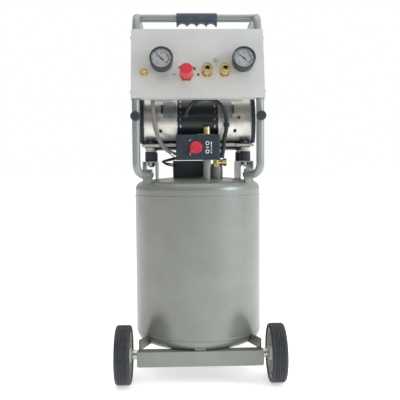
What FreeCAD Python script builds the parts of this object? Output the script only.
"""Upright air compressor: a ten-gallon tank on two wheels, with a twin-cylinder pump and a tilted control panel.

Everything is drawn about the tank's own axis: +X to the right, -Y towards the operator, +Z up, millimetres.
keep() then moves each finished piece so that the origin lies under the middle of the whole machine.
"""

import FreeCAD, Part
import Sketcher
import math
import os
import re
from FreeCAD import Placement, Rotation, Vector

# ---------------------------------------------------------------- driving dimensions
SIZES = {
    # tank
    "tank_radius": 169.0, "tank_wall": 2.5, "tank_seat": 24.0, "shell_length": 361.0,
    "head_step": 0.8, "head_skirt": 5.0, "head_rise": 45.0, "head_knuckle": 22.0,
    "top_skirt": 16.0, "top_rise": 34.0,
    # wheels and carriage
    "wheel_radius": 74.0, "tyre_width": 38.0, "rim_radius": 63.0, "wheel_gap": 15.0, "axle_inset": 19.0,
    "axle_radius": 6.0, "run_gap": 0.06, "tread_depth": 2.2, "groove_width": 2.4, "tread_grooves": 4,
    "hub_boss": 17.0, "hub_web": 5.0, "nut_height": 6.0,
    "beam_inset": 10.0, "axle_in_beam": 27.0, "beam_height": 38.0, "beam_depth": 30.0, "beam_wall": 3.0,
    "tab_width": 28.0, "tab_height": 8.0, "strap_height": 26.0, "strap_plate": 5.0, "strap_bite": 22.0,
    "strap_angle": 31.1,
    "foot_x": 62.0, "foot_y": 105.0, "foot_radius": 17.0, "foot_height": 18.0, "foot_plate": 4.0,
    # frame
    "tube_radius": 10.0, "tube_wall": 1.6, "leg_inset": 12.5, "leg_corner": 30.67, "leg_rise": 55.0,
    "leg_length": 175.0, "frame_rise": 236.0, "frame_back": 98.0, "return_gap": 4.0, "lean": 14.0,
    "foot_angle": 50.0, "foot_reach": 40.0, "foot_turn": 28.0, "bend_turn": 60.0, "top_turn": 35.0,
    "lug_plate": 5.0, "lug_width": 26.0, "lug_height": 75.0, "lug_drop": 60.0, "bolt_radius": 5.0,
    "bar_y": -43.0, "bar_drop": 2.0, "grip_half": 53.0, "grip_wall": 3.0, "grip_drop": 20.5, "grip_depth": 17.0,
    "scallop_step": 25.0, "scallop_radius": 13.5,
    "bumper_flange": 2.0, "bumper_reach": 22.0, "bumper_drop": 28.0,
    # control panel
    "panel_side": 2.0, "panel_rise": 185.0, "panel_sheet": 1.5, "panel_gap": 0.2, "flange_depth": 22.0,
    "panel_above_bend": 15.0, "screw_radius": 2.5, "screw_low": 20.0, "screw_high": 165.0,
    "face_screw_x": 46.0, "face_screw_up": 101.0,
    "gauge_radius": 29.0, "gauge_depth": 30.0, "gauge_left": -91.0, "gauge_right": 115.0, "gauge_up": 95.0,
    "stem_radius": 6.5, "manifold_gap": 22.0, "manifold_bar": 20.0, "manifold_up": 67.0,
    "regulator_x": -29.0, "regulator_up": 60.5, "regulator_radius": 20.0, "neck_radius": 11.0, "knob_radius": 16.0,
    "knob_reach": 42.0, "coupler_left": 23.0, "coupler_right": 68.0, "coupler_radius": 9.6, "coupler_bore": 6.1,
    "coupler_reach": 34.0, "valve_x": -135.0, "valve_up": 66.0,
    # pump
    "pump_radius": 74.0, "pump_wall": 4.0, "pan_bite": 8.0, "motor_half": 53.0, "case_end": 140.0,
    "fan_end": 151.0, "pan_gap": 13.0, "pan_sheet": 6.0, "shaft_radius": 7.0, "rotor_radius": 40.0,
    "air_gap": 0.5, "crank_x": 90.0, "crank_throw": 8.0, "crank_radius": 14.0, "bore_radius": 25.0,
    "piston_height": 14.0, "cylinder_gap": 10.0, "cylinder_length": 52.0, "fan_radius": 60.0,
    "slot_depth": 40.0,
    # rubber mounts
    "mount_inset": 16.0, "mount_front": -62.0, "mount_back": 70.0, "mount_radius": 14.0,
    "mount_height": 25.0, "rail_rise": 90.0, "rail_sheet": 3.0, "rail_half": 18.0, "rail_nose": 4.0,
    "stud_radius": 4.0,
    # switch and pipework
    "switch_x": -1.0, "switch_width": 112.0, "switch_depth": 59.0, "switch_tuck": 9.0, "switch_rise": 93.0,
    "switch_base": 10.0, "switch_cover": 54.0, "switch_knob_x": -6.4, "switch_knob_rise": 31.6,
    "switch_knob_radius": 15.5, "switch_stem": 4.0, "unloader_radius": 8.0, "unloader_length": 18.0,
    "unloader_forward": 8.0,
    "nipple_x": 22.0, "nipple_radius": 10.0, "boss_x": 49.0, "boss_y": -60.0, "boss_radius": 16.0,
    "boss_rise": 75.0, "hose_radius": 5.2, "cable_radius": 5.2, "line_radius": 4.0,
    "capacitor_x": -25.5, "capacitor_y": 8.0, "capacitor_width": 81.0, "capacitor_depth": 56.0,
    "capacitor_height": 50.0, "capacitor_rise": 42.0,
    "drain_drop": 12.0, "drain_radius": 8.0,
}

# places that follow from the sizes above
TIES = {
    "axle_offset": "tank_radius - axle_inset",
    "beam_half": "tank_radius - beam_inset",
    "beam_low": "wheel_radius - axle_in_beam",
    "wheel_x": "beam_half + wheel_gap + tyre_width / 2",
    "seam_low": "beam_low + beam_height + tank_seat",
    "seam_high": "seam_low + shell_length",
    "leg_x": "tank_radius - leg_inset",
    "leg_y": "0 - sqrt((tank_radius + leg_corner)^2 - (leg_x)^2)",
    "leg_low": "seam_high + leg_rise",
    "leg_bend": "leg_low + leg_length",
    "frame_high": "leg_bend + frame_rise",
    "bar_height": "frame_high - bar_drop",
    "bumper_height": "leg_bend - bumper_drop",
    "grip_radius": "tube_radius + grip_wall",
    "bumper_radius": "tube_radius + bumper_flange",
    "panel_half": "leg_x + tube_radius + panel_side",
    "panel_start": "leg_bend + panel_above_bend",
    "rail_top": "seam_high + rail_rise",
    "pan_low": "rail_top + mount_height + pan_gap",
    "pump_height": "pan_low + pump_radius - pan_bite",
    "return_height": "pump_height + pump_radius + tube_radius + return_gap",
    "cylinder_low": "pump_height + pump_radius + cylinder_gap",
    "cylinder_high": "cylinder_low + cylinder_length",
    "mount_x": "case_end - mount_inset",
    "rail_front": "mount_front - mount_radius - rail_nose",
    "rail_back": "mount_back + mount_radius",
    "switch_low": "seam_high + switch_rise",
    "switch_y": "switch_tuck - pump_radius - switch_depth / 2",
    "switch_knob_z": "switch_low + switch_knob_rise",
    "boss_top": "seam_high + boss_rise",
    "capacitor_low": "seam_high + capacitor_rise",
}

doc = FreeCAD.newDocument("air_compressor")
sheet = doc.addObject("Spreadsheet::Sheet", "Sizes")
for row, (alias, value) in enumerate(SIZES.items(), start=1):
    sheet.set(f"A{row}", alias)
    sheet.set(f"B{row}", str(value))
    sheet.setAlias(f"B{row}", alias)
doc.recompute()

WORDS = re.compile(r"\b(" + "|".join([*SIZES, *TIES]) + r")\b")
KEPT = []


# ---------------------------------------------------------------- small helpers
def linked(expression):
    """The expression with each size name pointed at its cell, and each tie written out in sizes."""
    def point(found):
        name = found.group(1)
        return f"({linked(TIES[name])})" if name in TIES else f"Sizes.{name}"
    return WORDS.sub(point, str(expression))


def size(expression):
    """The present value of an expression of size names."""
    return float(sheet.evalExpression(linked(expression)))


def bind(piece, **sizes):
    for name, expression in sizes.items():
        piece.setExpression(name, linked(expression))
    return piece


TURN = {"X": Rotation(Vector(0, 1, 0), 90), "Y": Rotation(Vector(1, 0, 0), -90), "Z": Rotation()}


def at(piece, place, rotation=None):
    """Puts a primitive at three expressions."""
    piece.Placement = Placement(Vector(*(size(v) for v in place)), rotation or Rotation())
    for axis, expression in zip("xyz", place):
        piece.setExpression(f"Placement.Base.{axis}", linked(expression))
    return piece


def rod(name, radius, length, place=(0, 0, 0), along="Z"):
    """A round bar that starts at place and runs along an axis."""
    piece = bind(doc.addObject("Part::Cylinder", name), Radius=radius, Height=length)
    return at(piece, place, TURN[along])


def block(name, width, depth, height, place=(0, 0, 0)):
    """A box whose bottom face is centred on place."""
    piece = bind(doc.addObject("Part::Box", name), Length=width, Width=depth, Height=height)
    x, y, z = place
    return at(piece, (f"{x} - ({width}) / 2", f"{y} - ({depth}) / 2", z))


def hexagon(name, across, height, place=(0, 0, 0), along="Z"):
    """A hexagonal bar, measured across its flats."""
    piece = bind(doc.addObject("Part::Prism", name), Circumradius=f"({across}) / sqrt(3)", Height=height)
    return at(piece, place, TURN[along])


def fuse(name, *parts):
    piece = doc.addObject("Part::MultiFuse", name)
    piece.Shapes = list(parts)
    return piece


def cut(name, base, *tools):
    piece = doc.addObject("Part::Cut", name)
    piece.Base = base
    piece.Tool = tools[0] if len(tools) == 1 else fuse(name + "_tools", *tools)
    return piece


def group(name, *parts):
    piece = doc.addObject("Part::Compound", name)
    piece.Links = list(parts)
    return piece


def mirrored(name, source):
    """The same piece on the other side of the machine's middle plane."""
    piece = doc.addObject("Part::Mirroring", name)
    piece.Source = source
    piece.Normal = Vector(1, 0, 0)
    return piece


def both_sides(name, source):
    return group(name, source, mirrored(name + "_mirror", source))


def moved(name, source, placement):
    """A copy of a finished solid at another placement."""
    piece = doc.addObject("Part::Compound", name)
    piece.Links = [source]
    piece.Placement = placement
    return piece


def rounded(name, source, radius, chosen):
    """Rounds the edges that the test picks."""
    doc.recompute()
    edges = [n for n, edge in enumerate(source.Shape.Edges, start=1) if chosen(edge)]
    piece = doc.addObject("Part::Fillet", name)
    piece.Base = source
    piece.Edges = [(n, size(radius), size(radius)) for n in edges]
    return piece


def runs_along(axis):
    """A test for straight edges along an axis."""
    def chosen(edge):
        if edge.Degenerated or len(edge.Vertexes) < 2:
            return False
        way = edge.Vertexes[1].Point - edge.Vertexes[0].Point
        return abs(edge.Length - abs(getattr(way, axis))) < 1e-6
    return chosen


def new_sketch(body, plane):
    sketch = body.newObject("Sketcher::SketchObject", body.Name + "_sketch")
    origin_plane = next(f for f in body.Origin.OriginFeatures if f.Role == plane)
    sketch.AttachmentSupport = (origin_plane, [""])
    sketch.MapMode = "FlatFace"
    return sketch


def outline(sketch, points):
    """A closed outline whose corners are tied to expressions."""
    corners = [Vector(size(x), size(y), 0) for x, y in points]
    first = sketch.GeometryCount
    count = len(corners)
    for n in range(count):
        sketch.addGeometry(Part.LineSegment(corners[n], corners[(n + 1) % count]), False)
    for n in range(count):
        sketch.addConstraint(Sketcher.Constraint("Coincident", first + n, 2, first + (n + 1) % count, 1))
    for n, pair in enumerate(points):
        for kind, expression, value in zip(("DistanceX", "DistanceY"), pair, (corners[n].x, corners[n].y)):
            row = sketch.addConstraint(Sketcher.Constraint(kind, -1, 1, first + n, 1, value))
            sketch.setExpression(f"Constraints[{row}]", linked(expression))


def ring(sketch, x, y, radius):
    """A circle whose centre and radius are tied to expressions."""
    first = sketch.addGeometry(Part.Circle(Vector(size(x), size(y), 0), Vector(0, 0, 1), size(radius)), False)
    for kind, expression in (("DistanceX", x), ("DistanceY", y)):
        row = sketch.addConstraint(Sketcher.Constraint(kind, -1, 1, first, 3, size(expression)))
        sketch.setExpression(f"Constraints[{row}]", linked(expression))
    row = sketch.addConstraint(Sketcher.Constraint("Radius", first, size(radius)))
    sketch.setExpression(f"Constraints[{row}]", linked(radius))


def revolve(body, sketch):
    turn = body.newObject("PartDesign::Revolution", body.Name + "_turn")
    turn.Profile = sketch
    turn.ReferenceAxis = (sketch, ["V_Axis"])
    turn.Angle = 360
    return body


def turned(name, points):
    """A body turned about Z from its half outline of (radius, height) points."""
    body = doc.addObject("PartDesign::Body", name)
    sketch = new_sketch(body, "XZ_Plane")
    outline(sketch, points)
    return revolve(body, sketch)


def slab(name, plane, points, thickness, holes=()):
    """A plate of an outline with round holes, its thickness centred on the plane."""
    body = doc.addObject("PartDesign::Body", name)
    sketch = new_sketch(body, plane)
    outline(sketch, points)
    for hole in holes:
        ring(sketch, *hole)
    pad = body.newObject("PartDesign::Pad", name + "_pad")
    pad.Profile = sketch
    pad.Midplane = True
    bind(pad, Length=thickness)
    return body


def domed(name, radius, skirt, rise, knuckle):
    """A dished head standing on its skirt: a crown arc that meets a knuckle arc, which meets the skirt."""
    r, s, h, k = (size(v) for v in (radius, skirt, rise, knuckle))
    crown = (h * h - k * k + (r - k) ** 2) / (2 * (h - k))
    hub, knee = Vector(0, s + h - crown, 0), Vector(r - k, s, 0)
    away = (knee - hub).normalize()
    start = math.degrees(math.atan2(away.y, away.x))
    body = doc.addObject("PartDesign::Body", name)
    sketch = new_sketch(body, "XZ_Plane")
    top, rim, low, foot = Vector(0, s + h, 0), Vector(r, s, 0), Vector(r, 0, 0), Vector(0, 0, 0)
    up = Vector(0, 0, 1)
    sketch.addGeometry(Part.ArcOfCircle(Part.Circle(knee, up, k), 0, math.radians(start)), False)
    sketch.addGeometry(Part.ArcOfCircle(Part.Circle(hub, up, crown), math.radians(start), math.pi / 2), False)
    sketch.addGeometry(Part.LineSegment(top, foot), False)
    sketch.addGeometry(Part.LineSegment(foot, low), False)
    sketch.addGeometry(Part.LineSegment(low, rim), False)
    joins = (("Tangent", 0, 2, 1, 1), ("Coincident", 1, 2, 2, 1), ("Coincident", 2, 2, 3, 1),
             ("Coincident", 3, 2, 4, 1), ("Tangent", 4, 2, 0, 1), ("Vertical", 2), ("Vertical", 4),
             ("Horizontal", 3), ("Coincident", 2, 2, -1, 1), ("PointOnObject", 1, 3, -2))
    for join in joins:
        sketch.addConstraint(Sketcher.Constraint(*join))
    sizes = ((("DistanceX", -1, 1, 4, 1), radius, r), (("DistanceY", -1, 1, 4, 2), skirt, s),
             (("Radius", 0), knuckle, k), (("DistanceY", -1, 1, 1, 2), f"({skirt}) + ({rise})", s + h))
    for kind, expression, value in sizes:
        row = sketch.addConstraint(Sketcher.Constraint(*kind, value))
        sketch.setExpression(f"Constraints[{row}]", linked(expression))
    return revolve(body, sketch)


def bent_path(points, radii):
    """Straight runs joined by tangent arcs, and the length of the whole."""
    points = [Vector(*p) for p in points]
    edges, here = [], points[0]
    for n in range(1, len(points) - 1):
        before = (points[n] - points[n - 1]).normalize()
        after = (points[n + 1] - points[n]).normalize()
        turn = before.getAngle(after)
        reach = radii[n - 1] * math.tan(turn / 2)
        start, end = points[n] - before * reach, points[n] + after * reach
        inward = (after - before).normalize()
        middle = points[n] + inward * (radii[n - 1] / math.cos(turn / 2) - radii[n - 1])
        edges.append(Part.LineSegment(here, start).toShape())
        edges.append(Part.Arc(start, middle, end).toShape())
        here = end
    edges.append(Part.LineSegment(here, points[-1]).toShape())
    return Part.Wire(edges), sum(edge.Length for edge in edges)


def free_radii(points):
    """The largest bend radius that the runs beside each point leave room for."""
    points = [Vector(*p) for p in points]
    radii = []
    for n in range(1, len(points) - 1):
        before, after = points[n] - points[n - 1], points[n + 1] - points[n]
        turn = before.getAngle(after)
        radii.append(0.45 * min(before.Length, after.Length) / math.tan(turn / 2))
    return radii


def swept(path, start, direction, radius):
    disc = Part.Wire([Part.Circle(Vector(*start), direction, radius).toShape()])
    return path.makePipeShell([disc], True, False)


def bar_along(points, radii, radius):
    path, length = bent_path(points, radii)
    solid = swept(path, points[0], Vector(*points[1]) - Vector(*points[0]), radius)
    expected = math.pi * radius * radius * length
    if abs(solid.Volume - expected) > 0.002 * expected:
        raise ValueError(f"bent bar has volume {solid.Volume:.0f}, not {expected:.0f}")
    return solid, length


def feature(name, shape, placement=None):
    """A solid made with Part's own functions."""
    piece = doc.addObject("Part::Feature", name)
    piece.Shape = shape
    piece.Placement = placement or Placement()
    return piece


# ---------------------------------------------------------------- frames of reference
ORIGIN = Placement(Vector(0, size("(axle_offset + wheel_radius - tank_radius) / 2"), 0), Rotation())
FRONT = Rotation(Vector(1, 0, 0), 90)
LEAN = math.radians(size("lean"))
OUTWARD = Vector(0, -math.cos(LEAN), math.sin(LEAN))
leg_axis_y = size("leg_y") + (size("panel_start") - size("leg_bend")) * math.tan(LEAN)
PANEL = Placement(
    Vector(0, leg_axis_y, size("panel_start")) + OUTWARD * size("tube_radius + panel_gap + panel_sheet"),
    Rotation(Vector(1, 0, 0), 90 - size("lean")),
)


def on_panel(x, up, above=0):
    """A place on the panel's face: to the right, up the slope, and out of it."""
    return PANEL.multiply(Placement(Vector(size(x), size(up), size(above)), Rotation()))


def keep(piece, label, placement=None):
    """Names a finished sub-part and puts it in its place on the machine."""
    piece.Label = label
    piece.Placement = ORIGIN.multiply(placement or Placement())
    KEPT.append(piece)
    return piece


def standing(height, flipped=False):
    turn = Rotation(Vector(1, 0, 0), 180) if flipped else Rotation()
    return Placement(Vector(0, 0, size(height)), turn)


# ---------------------------------------------------------------- tank
head_outer = "tank_radius - head_step"


def head_pair(name, skirt, rise):
    """The outside and the inside of a dished head."""
    return (domed(name, head_outer, skirt, rise, "head_knuckle"),
            domed(name + "_inside", f"{head_outer} - tank_wall", skirt, f"{rise} - tank_wall",
                  "head_knuckle - tank_wall"))


top_dome, top_inside = head_pair("top_dome", "top_skirt", "top_rise")
low_dome, low_inside = head_pair("low_dome", "head_skirt", "head_rise")
tank_envelope = fuse(
    "tank_envelope",
    moved("envelope_top", top_dome, standing("seam_high")),
    moved("envelope_low", low_dome, standing("seam_low", flipped=True)),
    rod("envelope_shell", "tank_radius", "seam_high - seam_low", (0, 0, "seam_low")),
)
tank_shell = turned("shell", [
    ("tank_radius - tank_wall", "seam_low"), ("tank_radius", "seam_low"),
    ("tank_radius", "seam_high"), ("tank_radius - tank_wall", "seam_high")])
keep(tank_shell, "tank_shell")

port_tools = [
    rod("port_nipple", "nipple_radius - 4", 60, ("nipple_x", "switch_y", "seam_high")),
    rod("port_boss", "boss_radius - 8", 60, ("boss_x", "boss_y", "seam_high")),
]
top_head = cut("top_head", moved("top_head_skin", cut("top_skin", top_dome, top_inside), standing("seam_high")),
               *port_tools)
keep(top_head, "tank_top_head")
low_skin = cut("low_skin", low_dome, low_inside)
low_head = cut("low_head", moved("low_head_skin", low_skin, standing("seam_low", flipped=True)),
               rod("port_drain", "drain_radius - 4", 30, (0, 0, "seam_low - head_skirt - head_rise - 10")))
keep(low_head, "tank_bottom_head")

boss_ring = cut("boss_ring",
                rod("boss_outer", "boss_radius", "boss_rise - 10", ("boss_x", "boss_y", "seam_high + 10")),
                rod("boss_inner", "boss_radius - 8", 90, ("boss_x", "boss_y", "seam_high")), tank_envelope)
drain_top = "seam_low - head_skirt - head_rise"
drain_ring = cut("drain_ring", rod("drain_outer", "drain_radius + 6", "drain_drop + 6",
                                   (0, 0, f"{drain_top} - drain_drop")),
                 rod("drain_inner", "drain_radius - 4", 40, (0, 0, f"{drain_top} - 20")), tank_envelope)

# ---------------------------------------------------------------- carriage and wheels
beam_top = "beam_low + beam_height"
beam_y = "0 - axle_offset - 5"
beam_outer = rounded("beam_outer", block("beam_block", "beam_half * 2", "beam_depth", "beam_height",
                                         (0, beam_y, "beam_low")), 5, runs_along("y"))
beam_hollow = block("beam_hollow", "(beam_half - beam_wall) * 2", "beam_depth", "beam_height - beam_wall * 2",
                    (0, f"{beam_y} + beam_wall", "beam_low + beam_wall"))
axle_hole = rod("axle_hole", "axle_radius + run_gap", "beam_half * 2 + 20",
                ("0 - beam_half - 10", "0 - axle_offset", "wheel_radius"), "X")
tab = block("beam_tab", "tab_width", "beam_wall", "tab_height + 1", (0, f"{beam_y} - beam_depth / 2 + 8",
                                                                   f"{beam_top} - 1"))
beam = cut("beam", fuse("beam_and_tab", cut("beam_channel", beam_outer, beam_hollow, axle_hole), tab), tank_envelope)
keep(beam, "axle_beam")

strap_turn, strap_reach = math.radians(size("strap_angle")), size("tank_radius - strap_bite")
strap_start = Vector(size("beam_half - 4"), size("0 - axle_offset"), 0)
strap_end = Vector(math.cos(strap_turn), -math.sin(strap_turn), 0) * strap_reach
strap_way = strap_end - strap_start
strap = bind(doc.addObject("Part::Box", "strap"), Width="strap_plate", Height="strap_height")
strap.Length = strap_way.Length
strap.Placement = Placement(Vector(strap_start.x, strap_start.y, size(beam_top)),
                            Rotation(Vector(0, 0, 1), math.degrees(math.atan2(strap_way.y, strap_way.x))))
keep(both_sides("straps", cut("strap_fitted", strap, tank_envelope)), "axle_straps")

wheel_inner = "wheel_x - tyre_width / 2"
axle_end = "wheel_x + tyre_width / 2"
axle = group("axle", rod("axle_bar", "axle_radius", f"({axle_end}) * 2",
                         (f"0 - ({axle_end})", "0 - axle_offset", "wheel_radius"), "X"))
keep(axle, "wheel_axle")
nut = cut("axle_nut", fuse(
    "axle_nut_solid",
    hexagon("axle_hex", "axle_radius * 3", "nut_height - 1",
            (f"{axle_end} - nut_height + 1", "0 - axle_offset", "wheel_radius"), "X"),
    rod("axle_washer", "axle_radius * 2", 1, (f"{axle_end} - nut_height", "0 - axle_offset", "wheel_radius"), "X")),
    rod("axle_thread", "axle_radius", 20, (f"{axle_end} - 15", "0 - axle_offset", "wheel_radius"), "X"))
spacer = cut("axle_spacer", rod("axle_spacer_outer", "axle_radius * 2", f"{wheel_inner} - beam_half - 0.3",
                                ("beam_half", "0 - axle_offset", "wheel_radius"), "X"),
             rod("axle_spacer_hole", "axle_radius", 40, ("beam_half - 10", "0 - axle_offset", "wheel_radius"), "X"))
keep(both_sides("nuts", group("nut_and_spacer", nut, spacer)), "axle_nuts")

half = "tyre_width / 2"
tread = [("wheel_radius - 4", f"0 - {half}"), ("wheel_radius", f"0 - {half} + 4")]
grooves = int(SIZES["tread_grooves"])
for n in range(grooves):
    middle = f"(tyre_width - 8) * ({n + 1} / {grooves + 1} - 0.5)"
    tread += [("wheel_radius", f"{middle} - groove_width / 2"),
              ("wheel_radius - tread_depth", f"{middle} - groove_width / 2 + 0.5"),
              ("wheel_radius - tread_depth", f"{middle} + groove_width / 2 - 0.5"),
              ("wheel_radius", f"{middle} + groove_width / 2")]
tread += [("wheel_radius", f"{half} - 4"), ("wheel_radius - 4", half)]
tyre_points = [("rim_radius", f"2 - {half}"), ("rim_radius + 3", f"0 - {half}")] + tread
tyre_points += [("rim_radius + 3", half), ("rim_radius", f"{half} - 2")]
hub_bore = "axle_radius + run_gap"
hub_points = [
    (hub_bore, f"0 - {half}"), ("hub_boss", f"0 - {half}"), ("hub_boss + 2", "0 - hub_web / 2 - 2"),
    ("rim_radius - 6", "0 - hub_web / 2"), ("rim_radius - 4", f"3 - {half}"), ("rim_radius", f"3 - {half}"),
    ("rim_radius", f"{half} - 3"), ("rim_radius - 4", f"{half} - 3"), ("rim_radius - 6", "hub_web / 2"),
    ("hub_boss + 2", "hub_web / 2 + 2"), ("hub_boss", f"{half} - nut_height - 0.3"),
    (hub_bore, f"{half} - nut_height - 0.3")]
for side, sign in (("left", -1), ("right", 1)):
    place = Placement(Vector(sign * size("wheel_x"), -size("axle_offset"), size("wheel_radius")),
                      Rotation(Vector(0, 1, 0), 90 * sign))
    keep(turned(side + "_tread", tyre_points), side + "_tyre", place)
    keep(turned(side + "_wheel", hub_points), side + "_hub", place)

leg_plate = cut("leg_plate", fuse(
    "leg_plate_solid",
    block("leg_upright", "foot_plate", 36, 70, ("foot_x", "foot_y", "foot_height")),
    block("leg_sole", "foot_radius * 2", 36, "foot_plate", ("foot_x", "foot_y", "foot_height"))), tank_envelope)
keep(both_sides("legs", leg_plate), "rear_legs")
foot = turned("foot", [(0, 0), ("foot_radius - 2", 0), ("foot_radius", 3), ("foot_radius - 1.5", "foot_height"),
                       (0, "foot_height")])
foot_at = moved("foot_placed", foot, Placement(Vector(size("foot_x"), size("foot_y"), 0), Rotation()))
keep(both_sides("feet", foot_at), "rear_feet")

drain_mid = f"{drain_top} - drain_drop - 12"
drain = cut("drain", fuse(
    "drain_solid", rod("drain_neck", "drain_radius", 16, (0, 0, f"{drain_mid} - 4")),
    rod("drain_barrel", "drain_radius + 1", 34, (0, -18, drain_mid), "Y"),
    rod("drain_spout", "drain_radius - 3", 14, (0, -10, f"{drain_mid} - 16"))),
    rod("drain_stem_hole", "3 + run_gap", 14, (0, 3, drain_mid), "Y"))
keep(drain, "drain_valve_body")
lever = fuse("drain_lever", rod("drain_stem", 3, 20, (0, 4, drain_mid), "Y"),
             block("drain_wing", 36, 4, 9, (0, 22, f"{drain_mid} - 4.5")))
keep(lever, "drain_valve_handle")

# ---------------------------------------------------------------- frame
r_tube, x_leg, y_leg = size("tube_radius"), size("leg_x"), size("leg_y")
lean_reach = (size("frame_high") - size("leg_bend")) * math.tan(LEAN)
foot_angle = math.radians(size("foot_angle"))
inward = Vector(-math.cos(foot_angle), math.sin(foot_angle), 0)
tube_end = Vector(x_leg, y_leg, size("leg_low")) + inward * size("foot_reach")
tube_points = [
    tuple(tube_end), (x_leg, y_leg, size("leg_low")), (x_leg, y_leg, size("leg_bend")),
    (x_leg, y_leg + lean_reach, size("frame_high")), (x_leg, size("frame_back"), size("frame_high")),
    (x_leg, size("frame_back"), size("return_height")), (x_leg, y_leg + 2 * r_tube, size("return_height"))]
tube_radii = [size("foot_turn"), size("bend_turn"), size("top_turn"), size("top_turn"), size("top_turn")]
tube_outer = bar_along(tube_points, tube_radii, r_tube)[0]
leg_only = bar_along(tube_points[:4], tube_radii[:2], r_tube)[0]
tube_path, tube_length = bent_path(tube_points, tube_radii)
rims = [Part.Wire([Part.Circle(tube_end, inward, r).toShape()]) for r in (r_tube, r_tube - size("tube_wall"))]
rims[1].reverse()
tube_skin = feature("tube_skin", tube_path.makePipe(Part.Face(rims)))
print(f"side tube: length {tube_length:.0f}, {len(tube_skin.Shape.Solids)} solid")
screw_holes = [moved(f"screw_hole_{n}", rod(f"screw_drill_{n}", "screw_radius + 0.05", 40, (0, 0, 0), "X"),
                     on_panel("leg_x - 10", up, "0 - tube_radius - panel_gap - panel_sheet"))
               for n, up in enumerate(("screw_low", "screw_high"))]
right_tube = cut("right_tube", tube_skin, *screw_holes)
keep(right_tube, "right_side_tube")
left_tube = mirrored("left_tube", cut("left_tube_source", tube_skin, *screw_holes))
keep(group("left_tube_group", left_tube), "left_side_tube")

tube_pair = both_sides("tube_pair", feature("tube_bar", tube_outer))
bar = cut("handle_cross", rod("handle_rod", "tube_radius", "leg_x * 2", ("0 - leg_x", "bar_y", "bar_height"), "X"),
          tube_pair)
keep(bar, "handle_bar")
scallops = [rod(f"scallop_{n}", "scallop_radius", 40,
                (f"scallop_step * ({n} - 1.5)", "bar_y - 20", "bar_height - grip_drop - 6"), "Y") for n in range(4)]
grip = cut("grip", fuse(
    "grip_solid", rod("grip_sleeve", "grip_radius", "grip_half * 2", ("0 - grip_half", "bar_y", "bar_height"), "X"),
    block("grip_fingers", "grip_half * 2", "grip_depth", "grip_drop", (0, "bar_y", "bar_height - grip_drop"))),
    rod("grip_bore", "tube_radius", "grip_half * 3", ("0 - grip_half * 1.5", "bar_y", "bar_height"), "X"), *scallops)
keep(grip, "handle_grip")

lug_place = Placement(tube_end, Rotation(Vector(0, 0, 1), inward))
upright = Rotation(Vector(0, 0, 1), math.degrees(math.atan2(inward.y, inward.x)) - 90)
lug_box = bind(doc.addObject("Part::Box", "lug_box"),
               Length="lug_width", Width="lug_plate", Height="lug_height")
across = Vector(inward.y, -inward.x, 0)
lug_box.Placement = Placement(tube_end - across * size("lug_width / 2") - Vector(0, 0, size("lug_drop")), upright)
bolt_hole = moved("bolt_hole", rod("bolt_drill", "bolt_radius + 0.05", 60, (0, 0, -30)), lug_place)
lugs = both_sides("lugs", cut("lug", lug_box, bolt_hole, tank_envelope))
keep(group("weldments", boss_ring, drain_ring, lugs), "tank_bosses")
bolt = moved("bolt_placed", fuse(
    "bolt", rod("bolt_shank", "bolt_radius", "lug_plate + 20", (0, 0, -20)),
    rod("bolt_washer", "bolt_radius * 2", 1.5, (0, 0, "lug_plate")),
    hexagon("bolt_head", 16, 8, (0, 0, "lug_plate + 1.5"))), lug_place)
plug = moved("plug_placed", cut("plug", rod("plug_disc", "tube_radius - tube_wall", 10, (0, 0, -10)),
                                rod("plug_hole", "bolt_radius", 30, (0, 0, -20))), lug_place)
keep(both_sides("bolts", group("bolt_and_plug", bolt, plug)), "frame_bolts")

bumper_body = turned("bumper", [
    (0, -20), ("bumper_radius - 2", -20), ("bumper_radius - 2", "tube_radius"), ("bumper_radius", "tube_radius + 3"),
    ("bumper_radius", "tube_radius + bumper_reach - 3"), ("bumper_radius - 3", "tube_radius + bumper_reach"),
    (0, "tube_radius + bumper_reach")])
bumper_at = moved("bumper_placed", bumper_body, Placement(Vector(x_leg, y_leg, size("bumper_height")), FRONT))
bumper_space = block("bumper_behind", 60, 60, 60, ("leg_x", "leg_y + 30", "bumper_height - 30"))
bumper = cut("bumper_fitted", bumper_at, feature("leg_bar", leg_only), bumper_space)
keep(both_sides("bumpers", bumper), "frame_bumpers")

# ---------------------------------------------------------------- control panel, drawn flat: Z out of its face
back = "0 - panel_sheet"
panel_holes = [("gauge_left", "gauge_up", "stem_radius + 1"), ("gauge_right", "gauge_up", "stem_radius + 1"),
               ("regulator_x", "regulator_up", "neck_radius + 0.3"),
               ("coupler_left", "manifold_up", "coupler_radius + 0.3"),
               ("coupler_right", "manifold_up", "coupler_radius + 0.3"),
               ("valve_x", "valve_up", "stem_radius + 0.3"), ("face_screw_x", "face_screw_up", "screw_radius + 0.05")]
face = slab("panel_face", "XY_Plane",
            [("0 - panel_half", 0), ("panel_half", 0), ("panel_half", "panel_rise"), ("0 - panel_half", "panel_rise")],
            "panel_sheet", panel_holes)
face_placed = moved("panel_face_placed", face, Placement(Vector(0, 0, -size("panel_sheet") / 2), Rotation()))
flange_x = "panel_half - panel_sheet / 2"
flanges = [block(f"flange_{n}", "panel_sheet", "panel_rise", "flange_depth",
                 (f"{sign} * ({flange_x})", "panel_rise / 2", "0 - flange_depth")) for n, sign in enumerate((-1, 1))]
lip = block("panel_lip", "(panel_half - tube_radius * 2 - 4) * 2", "panel_sheet", "flange_depth - 8",
            (0, "panel_sheet / 2", "8 - flange_depth"))
flange_drills = [rod(f"flange_drill_{n}", "screw_radius + 0.05", "panel_half * 2 + 20",
                     ("0 - panel_half - 10", up, "0 - tube_radius - panel_gap - panel_sheet"), "X")
                 for n, up in enumerate(("screw_low", "screw_high"))]
panel = cut("panel", fuse("panel_folded", face_placed, *flanges, lip), *flange_drills)
keep(panel, "control_panel", PANEL)


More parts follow.
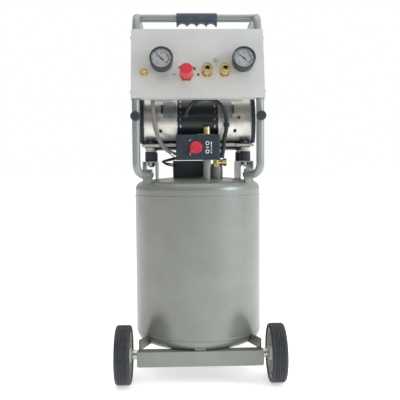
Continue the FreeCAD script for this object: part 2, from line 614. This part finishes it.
def side_screw(name, up):
    z = "0 - tube_radius - panel_gap - panel_sheet"
    return fuse(name, rod(name + "_shank", "screw_radius", "panel_half - leg_x + 4", ("leg_x - 4", up, z), "X"),
                rod(name + "_head", "screw_radius * 2", 2.5, ("panel_half", up, z), "X"))


screws = [side_screw(f"screw_{n}", up) for n, up in enumerate(("screw_low", "screw_high"))]
face_screw = fuse("face_screw", rod("face_screw_shank", "screw_radius", 8, ("face_screw_x", "face_screw_up", -8)),
                  rod("face_screw_head", "screw_radius * 2", 2.5, ("face_screw_x", "face_screw_up", 0)))
keep(group("screw_set", both_sides("screw_sides", group("screw_pair", *screws)), face_screw), "panel_screws", PANEL)

dial_z = "gauge_depth - 8"
case_points = [
    ("stem_radius - 3", "0 - manifold_gap"), ("stem_radius", "0 - manifold_gap"), ("stem_radius", 0),
    ("gauge_radius - 3", 0), ("gauge_radius - 1", 2), ("gauge_radius - 1", "gauge_depth - 7"),
    ("gauge_radius", "gauge_depth - 6"), ("gauge_radius", "gauge_depth - 1"), ("gauge_radius - 1", "gauge_depth"),
    ("gauge_radius - 3", "gauge_depth"), ("gauge_radius - 3", dial_z), ("stem_radius - 3", dial_z)]
gauge_places = [on_panel(x, "gauge_up") for x in ("gauge_left", "gauge_right")]
case = turned("gauge_case", case_points)
keep(group("gauge_cases", *(moved(f"case_{n}", case, p) for n, p in enumerate(gauge_places))), "gauge_cases")
dial = turned("gauge_dial", [(0, dial_z), ("gauge_radius - 3", dial_z), ("gauge_radius - 3", f"{dial_z} + 0.8"),
                             (0.8, f"{dial_z} + 0.8"), (0.8, f"{dial_z} + 3.5"), (0, f"{dial_z} + 3.5")])
keep(group("gauge_dials", *(moved(f"dial_{n}", dial, p) for n, p in enumerate(gauge_places))), "gauge_dials")
lens = turned("gauge_lens", [(0, f"{dial_z} + 5"), ("gauge_radius - 3", f"{dial_z} + 5"),
                             ("gauge_radius - 3", f"{dial_z} + 7"), (0, f"{dial_z} + 7")])
keep(group("gauge_lenses", *(moved(f"lens_{n}", lens, p) for n, p in enumerate(gauge_places))), "gauge_lenses")
for name, place, angle in (("tank_gauge_needle", gauge_places[0], 130), ("outlet_gauge_needle", gauge_places[1], 138)):
    hand = cut(name + "_solid", fuse(
        name + "_blade",
        slab(name + "_flat", "XY_Plane", [(-8, -1.6), (0, -1.2), ("gauge_radius - 8", -0.35),
                                          ("gauge_radius - 8", 0.35), (0, 1.2), (-8, 1.6)], 0.6),
        rod(name + "_hub", 2.4, 1.6, (0, 0, -0.8))), rod(name + "_hole", "0.8 + run_gap", 6, (0, 0, -3)))
    lift = Placement(Vector(0, 0, size(dial_z) + 2.2), Rotation(Vector(0, 0, 1), angle))
    keep(group(name + "_group", hand), name, place.multiply(lift))

regulator = cut("regulator", fuse(
    "regulator_solid", rod("regulator_bowl", "regulator_radius", 46, (0, 0, -48)),
    rod("regulator_neck", "neck_radius", 48 + 30, (0, 0, -48)),
    hexagon("regulator_nut", "neck_radius * 3", 5, (0, 0, 0)),
    block("regulator_flat", "neck_radius * 2", "neck_radius * 2", 10, (0, 0, -12))),
    rod("regulator_inside", "neck_radius - 4", 60, (0, 0, -40)))
keep(regulator, "regulator_body", on_panel("regulator_x", "regulator_up"))
knob_body = turned("knob_blank", [
    ("neck_radius + run_gap", 7), ("knob_radius - 0.6", 7), ("knob_radius", 9), ("knob_radius", "knob_reach - 2.5"),
    ("knob_radius - 2.5", "knob_reach"), (0, "knob_reach"), (0, "knob_reach - 10"),
    ("neck_radius + run_gap", "knob_reach - 10")])
flute_sketch = new_sketch(knob_body, "XY_Plane")
ring(flute_sketch, "knob_radius + 0.5", 0, 1.3)
flute = knob_body.newObject("PartDesign::Pocket", "knob_flute")
flute.Profile = flute_sketch
flute.Reversed = True
bind(flute, Length="knob_reach - 6")
flutes = knob_body.newObject("PartDesign::PolarPattern", "knob_flutes")
flutes.Originals = [flute]
flutes.Axis = (flute_sketch, ["N_Axis"])
flutes.Angle = 360
flutes.Occurrences = 24
knob_body.Tip = flutes
keep(knob_body, "regulator_knob", on_panel("regulator_x", "regulator_up"))

coupler_points = [
    ("coupler_bore - 3", "0 - manifold_gap"), ("coupler_radius", "0 - manifold_gap"), ("coupler_radius", 0),
    ("coupler_radius + 1", 0), ("coupler_radius + 1", 1), ("coupler_radius", 1), ("coupler_radius", "coupler_reach - 1"),
    ("coupler_radius - 1", "coupler_reach"), ("coupler_bore + 0.6", "coupler_reach"),
    ("coupler_bore", "coupler_reach - 0.6"), ("coupler_bore", "coupler_reach - 20"),
    ("coupler_bore - 3", "coupler_reach - 20")]
coupler_core = turned("coupler_core", coupler_points)
coupler_nut = cut("coupler_nut", hexagon("coupler_hex", "coupler_radius * 2.6", 6),
                  rod("coupler_nut_hole", "coupler_radius - 1", 20, (0, 0, -5)))
coupler = fuse("coupler_solid", coupler_core, coupler_nut)
coupler_places = [on_panel(x, "manifold_up") for x in ("coupler_left", "coupler_right")]
keep(group("couplers", *(moved(f"coupler_{n}", coupler, p) for n, p in enumerate(coupler_places))), "coupler_bodies")
for side, place in zip(("left", "right"), coupler_places):
    name = side + "_coupler_sleeve"
    sleeve = cut(name + "_solid", fuse(
        name + "_blank",
        hexagon(name + "_hex", "coupler_radius * 2.6", 12, (0, 0, "coupler_reach - 12")),
        rod(name + "_skirt", "coupler_radius + 2", "coupler_reach - 12", (0, 0, 12))),
        rod(name + "_bore", "coupler_radius + run_gap", 60, (0, 0, -5)),
        rod(name + "_front", 40, 20, (0, 0, "coupler_reach")))
    keep(sleeve, name, place)

valve = cut("valve", fuse(
    "valve_solid", rod("valve_stem_pipe", "stem_radius", "manifold_gap", (0, 0, "0 - manifold_gap")),
    hexagon("valve_hex", 19, 7), rod("valve_cap", 8, 13)), rod("valve_bore", "2.5 + run_gap", 30, (0, 0, -6)))
keep(valve, "safety_valve_body", on_panel("valve_x", "valve_up"))
pull = turned("pull", [(0, -4), (2.5, -4), (2.5, 13.3), (4.5, 13.3), (5.5, 14.5), (5.5, 16), (4, 17.5), (0, 17.5)])
pull_ring = doc.addObject("Part::Torus", "pull_ring")
pull_ring.Radius1, pull_ring.Radius2 = 6.5, 0.8
pull_ring.Placement = Placement(Vector(0, -6.5, 15.5), Rotation())
keep(fuse("pull_and_ring", pull, pull_ring), "safety_valve_ring", on_panel("valve_x", "valve_up"))

bar_z = "0 - manifold_gap - manifold_bar"
manifold = cut("manifold", fuse(
    "manifold_solid",
    block("manifold_rail", "gauge_right - valve_x + 24", "manifold_bar", "manifold_bar",
          ("(gauge_right + valve_x) / 2", "manifold_up", bar_z)),
    block("manifold_riser_l", 18, "gauge_up - manifold_up + 10", "manifold_bar",
          ("gauge_left", "(gauge_up + manifold_up) / 2 + 5", bar_z)),
    block("manifold_riser_r", 18, "gauge_up - manifold_up + 10", "manifold_bar",
          ("gauge_right", "(gauge_up + manifold_up) / 2 + 5", bar_z))),
    rod("manifold_seat", "regulator_radius", 90, ("regulator_x", "regulator_up", -70)))
keep(manifold, "air_manifold", PANEL)

# ---------------------------------------------------------------- pump: everything turns about one shaft along X
axis_z = "pump_height"
keep(cut("motor", fuse(
    "motor_solid", rod("motor_skin", "pump_radius - 3", "motor_half * 2", ("0 - motor_half", 0, axis_z), "X"),
    block("motor_foot", "motor_half * 2 - 20", 90, 30, (0, 0, "pan_low + 2"))),
    rod("motor_inside", "pump_radius - 3 - pump_wall", "motor_half * 2 + 20", ("0 - motor_half - 10", 0, axis_z), "X"),
    ), "motor_housing")
keep(cut("stator", rod("stator_core", "pump_radius - 3 - pump_wall", 70, (-35, 0, axis_z), "X"),
         rod("stator_bore", "rotor_radius + air_gap", 90, (-45, 0, axis_z), "X")), "motor_stator")
shaft_reach = "fan_end - 5"
cranks = [rod(f"crank_{n}", "crank_radius", 14, (f"{sign} * crank_x - 7", f"{sign} * crank_throw", axis_z), "X")
          for n, sign in enumerate((-1, 1))]
keep(fuse("rotor", rod("shaft", "shaft_radius", f"({shaft_reach}) * 2", (f"0 - ({shaft_reach})", 0, axis_z), "X"),
          rod("rotor_core", "rotor_radius", 70, (-35, 0, axis_z), "X"), *cranks), "rotor_shaft")

case_mid = "(motor_half + case_end) / 2"
case_long = "case_end - motor_half"
barrel = fuse(
    "case_solid", rod("case_barrel", "pump_radius", case_long, ("motor_half", 0, axis_z), "X"),
    block("case_foot", case_long, 96, 50, (case_mid, 0, "pan_low + 1")),
    block("case_pan", "mount_radius * 3.2", "mount_back - mount_front + mount_radius * 2", "pan_sheet",
          ("mount_x - 1", "(mount_back + mount_front) / 2", "pan_low")),
    block("case_deck", "crank_x - 20", "crank_x - 20", "cylinder_low - pump_height - 20",
          ("crank_x", 0, "pump_height + 20")))
front_face = "0 - pump_radius"
case_cuts = [
    rod("case_inside", "pump_radius - pump_wall", case_long, ("motor_half + pump_wall", 0, axis_z), "X"),
    rod("case_bearing", "shaft_radius + run_gap", 20, ("motor_half - 5", 0, axis_z), "X"),
    rod("case_bore", "bore_radius", 60, ("crank_x", 0, "cylinder_low - 40")),
    block("case_slot", 7, "slot_depth", 23, ("crank_x + 2", front_face, "pump_height + 20")),
    rod("case_hole_low", 4.5, "slot_depth", ("crank_x + 7", "0 - pump_radius - 12", "pump_height - 25"), "Y"),
]
case_hole_high = rod("case_hole_high", 4.5, "slot_depth",
                     ("crank_x + 17", "0 - pump_radius - 12", "pump_height + 9"), "Y")
stud_drills = [rod(f"pan_drill_{n}", "stud_radius + 0.05", 30, ("mount_x", y, "pan_low - 10"))
               for n, y in enumerate(("mount_front", "mount_back"))]
keep(cut("right_case", barrel, case_hole_high, *case_cuts, *stud_drills), "right_crankcase")
keep(group("left_case", mirrored("left_case_mirror", cut("left_case_source", barrel, *case_cuts, *stud_drills))),
     "left_crankcase")

head_plate = rounded("head_plate", block("head_block", 74, 74, 22, ("crank_x", 0, "cylinder_high")), 6,
                     runs_along("z"))
fins = [rod(f"cylinder_fin_{n}", "bore_radius + 14", 3, ("crank_x", 0, f"cylinder_low + 12 + {9 * n}"))
        for n in range(4)]
cylinder = cut("cylinder", fuse(
    "cylinder_solid", rod("cylinder_wall", "bore_radius + 6", "cylinder_high - cylinder_low",
                          ("crank_x", 0, "cylinder_low")),
    block("cylinder_foot", 66, 66, 5, ("crank_x", 0, "cylinder_low")), *fins, head_plate),
    rod("cylinder_bore", "bore_radius", "cylinder_high - cylinder_low - 3", ("crank_x", 0, "cylinder_low")))
keep(both_sides("cylinders", cylinder), "cylinder_heads")
piston_z = "cylinder_low + 8"
strap_radius = "crank_radius + crank_throw * 2 + 1"
rod_head = cut("rod_head", fuse(
    "rod_solid", rod("rod_strap", f"{strap_radius} + 5", 12, ("crank_x - 6", 0, axis_z), "X"),
    block("rod_shank", 12, 14, f"{piston_z} - {axis_z}", ("crank_x", 0, axis_z)),
    rod("piston_crown", "bore_radius - run_gap", "piston_height", ("crank_x", 0, piston_z))),
    rod("rod_eye", strap_radius, 30, ("crank_x - 15", 0, axis_z), "X"))
keep(group("piston_right", rod_head), "right_piston")
keep(group("piston_left", mirrored("piston_left_mirror", rod_head)), "left_piston")

blades = []
for n in range(7):
    blade = block(f"fan_blade_{n}", 9, 3, "fan_radius - 10", (0, 0, 10))
    blades.append(moved(f"fan_blade_turned_{n}", blade, Placement(
        Vector(size("fan_end - 9"), 0, size(axis_z)), Rotation(Vector(1, 0, 0), 360 / 7 * n))))
fan = cut("fan", fuse("fan_solid", rod("fan_hub", 15, 9, ("fan_end - 13.5", 0, axis_z), "X"), *blades),
          rod("fan_bore", "shaft_radius", 40, ("fan_end - 30", 0, axis_z), "X"))
keep(both_sides("fans", fan), "cooling_fans")
vents = []
for ring_n, (reach, count) in enumerate(((25, 8), (43, 14), (61, 20))):
    for n in range(count):
        angle = 2 * math.pi * n / count
        vents.append(rod(f"vent_{ring_n}_{n}", 5, 20,
                         ("fan_end - 10", reach * math.sin(angle), f"{axis_z} + {reach * math.cos(angle)}"), "X"))
cover = cut("cover", rod("cover_disc", "pump_radius + 1", "fan_end - case_end", ("case_end", 0, axis_z), "X"),
            rod("cover_inside", "pump_radius - 2", "fan_end - case_end - 2", ("case_end", 0, axis_z), "X"), *vents)
keep(both_sides("covers", cut("cover_fitted", cover, block("cover_pan", 40, 200, 20, ("case_end", 0, "pan_low - 10")))),
     "fan_covers")

# ---------------------------------------------------------------- saddle rails and rubber mounts
rail = block("rail_outer", "rail_half * 2", "rail_back - rail_front", 80,
             ("mount_x + 2", "(rail_back + rail_front) / 2", "rail_top - 80"))
rail_space = block("rail_space", "(rail_half - rail_sheet) * 2", 300, 80,
                   ("mount_x + 2", 0, "rail_top - rail_sheet - 80"))
rail_drills = [rod(f"rail_drill_{n}", "stud_radius + 0.05", 40, ("mount_x", y, "rail_top - 20"))
               for n, y in enumerate(("mount_front", "mount_back"))]
saddle = cut("saddle", rail, rail_space, tank_envelope, *rail_drills,
             block("rail_low", 80, 400, 400, ("mount_x", 0, "seam_high + top_skirt - 400")))
keep(both_sides("saddles", saddle), "saddle_rails")


def on_mounts(name, make):
    """One piece at each of the two mounting points of a side, and their mirror images."""
    pair = [make(f"{name}_{n}", y) for n, y in enumerate(("mount_front", "mount_back"))]
    return both_sides(name, group(name + "_pair", *pair))


def rubber(name, y):
    return cut(name, rod(name + "_puck", "mount_radius", "mount_height", ("mount_x", y, "rail_top")),
               rod(name + "_hole", "stud_radius", 60, ("mount_x", y, "rail_top - 10")))


def stud(name, y):
    top = "rail_top + mount_height"
    return fuse(name, rod(name + "_rod", "stud_radius", "pan_low + pan_sheet + 8 - rail_top + 15",
                          ("mount_x", y, "rail_top - 15")),
                hexagon(name + "_nut", 14, 8, ("mount_x", y, "rail_top - rail_sheet - 8")),
                hexagon(name + "_top_nut", 13, 5, ("mount_x", y, "pan_low + pan_sheet")),
                rod(name + "_spacer", "mount_radius - 5", f"pan_low - ({top})", ("mount_x", y, top)))


keep(on_mounts("rubbers", rubber), "rubber_mounts")
keep(on_mounts("studs", stud), "mount_studs")

# ---------------------------------------------------------------- pressure switch and pipework on the tank
switch_place = ("switch_x", "switch_y", "switch_low")
base = rounded("base", block("base_block", "switch_width", "switch_depth", "switch_base", switch_place), 2,
               runs_along("z"))
keep(group("base_group", base), "switch_base")
cover_low = "switch_low + switch_base"
lid = rounded("lid", block("lid_block", "switch_width", "switch_depth", "switch_cover",
                           ("switch_x", "switch_y", cover_low)), 4, runs_along("z"))
lid_front = "switch_y - switch_depth / 2"
knob_hole = rod("knob_hole", "switch_stem + run_gap", 10, ("switch_knob_x", f"{lid_front} - 2", "switch_knob_z"), "Y")
keep(cut("lid_hollow", lid, block("lid_inside", "switch_width - 5", "switch_depth - 5", "switch_cover - 2.5",
                                  ("switch_x", "switch_y", cover_low)), knob_hole), "switch_cover")
dial_knob = fuse("dial_knob", turned("dial_knob_disc", [
    (0, -8), ("switch_stem", -8), ("switch_stem", 0.4), ("switch_knob_radius", 0.4), ("switch_knob_radius", 8),
    ("switch_knob_radius - 2", 10), (0, 10)]),
    slab("dial_knob_bar", "XY_Plane", [("0 - switch_knob_radius + 1", -4), ("switch_knob_radius + 4", -3),
                                       ("switch_knob_radius + 4", 3), ("0 - switch_knob_radius + 1", 4)], 26))
dial_trim = cut("dial_trim", dial_knob, rod("dial_trim_tool", 40, 20, (0, 0, -19.6)))
dial_full = fuse("dial_full", dial_trim, rod("dial_stem", "switch_stem", 9, (0, 0, -8)))
keep(dial_full, "switch_knob", Placement(
    Vector(size("switch_knob_x"), size(lid_front), size("switch_knob_z")),
    FRONT.multiply(Rotation(Vector(0, 0, 1), 225))))
unloader_low = "switch_low + switch_base + switch_cover"
unloader_y = "switch_y - unloader_forward"
keep(fuse("unloader", block("unloader_strip", 41, 12, 2, ("nipple_x - 5", unloader_y, unloader_low)),
          rod("unloader_body", "unloader_radius", "unloader_length",
              ("nipple_x", unloader_y, f"{unloader_low} + 2"))),
     "unloader_valve")
keep(cut("nipple", rod("nipple_pipe", "nipple_radius", "switch_rise - 20", ("nipple_x", "switch_y", "seam_high + 20")),
         rod("nipple_bore", "nipple_radius - 4", 100, ("nipple_x", "switch_y", "seam_high + 10")), tank_envelope),
     "tank_nipple")
check_z = "boss_top + 12"
keep(fuse("check", hexagon("check_hex", "boss_radius * 1.6", 8, ("boss_x", "boss_y", "boss_top")),
          rod("check_body", 9, 17.5, ("boss_x", "boss_y", "boss_top")),
          rod("check_port", 7.5, 22, ("boss_x", "boss_y", check_z), "X"),
          hexagon("check_nut", 17, 9, ("boss_x + 17", "boss_y", check_z), "X"),
          rod("check_back_port", 6, 16, ("boss_x", "boss_y", check_z), "Y")), "check_valve")
capacitor = rounded("capacitor", block("capacitor_case", "capacitor_width", "capacitor_depth", "capacitor_height",
                                       ("capacitor_x", "capacitor_y", "capacitor_low")), 3, runs_along("z"))
capacitor_knob = rod("capacitor_knob", 5, 14, ("capacitor_x - 26.5", "capacitor_y - capacitor_depth / 2 - 12",
                                               "capacitor_low + 33"), "Y")
keep(cut("capacitor_fitted", fuse("capacitor_solid", capacitor, capacitor_knob), tank_envelope), "capacitor_box")

# ---------------------------------------------------------------- hose, cable and discharge line
cord_routes = {
    "braided_hose": ("hose_radius", [
        (-112, -88, 761), (-115, -95, 732), (-115, -100, 690), (-111, -101, 648), (-99, -100, 612),
        (-85, -97, 592), (-60.5, -94, 576)]),
    "motor_cable": ("cable_radius", [
        (60.7, -99, 568), (64, -100, 588), (67, -101, 618), (74, -101, 648), (71.5, -100, 684), (52, -99, 712),
        (20, -98, 722), (-11, -95, 713), (-28, -86, 688), (-30, -74, 672)]),
    "discharge_tube": ("line_radius", [
        (49, -43.6, 557), (52, 0, 556), (60, 50, 556), (66, 92, 570), (67, 100, 620), (67, 100, 680), (68, 100, 740),
        (76, 92, 790), (88, 39, 811)]),
}
for label, (radius, route) in cord_routes.items():
    bends = free_radii(route)
    solid, length = bar_along(route, bends, size(radius))
    keep(feature(label, solid), label)
    print(f"{label}: length {length:.0f}, radii " + ", ".join(f"{r:.0f}" for r in bends))

# ---------------------------------------------------------------- check and write
doc.recompute()
faults = [item.Name for item in doc.Objects if any(word in item.State for word in ("Invalid", "Error"))]
for piece in KEPT:
    if piece.Shape.isNull() or not piece.Shape.isValid() or not piece.Shape.Solids:
        faults.append(piece.Label)
if faults:
    raise ValueError("failed: " + ", ".join(faults))
os.makedirs("parts", exist_ok=True)
for piece in KEPT:
    piece.Shape.exportStep(f"parts/{piece.Label}.step")
print(f"{len(KEPT)} sub-parts written")
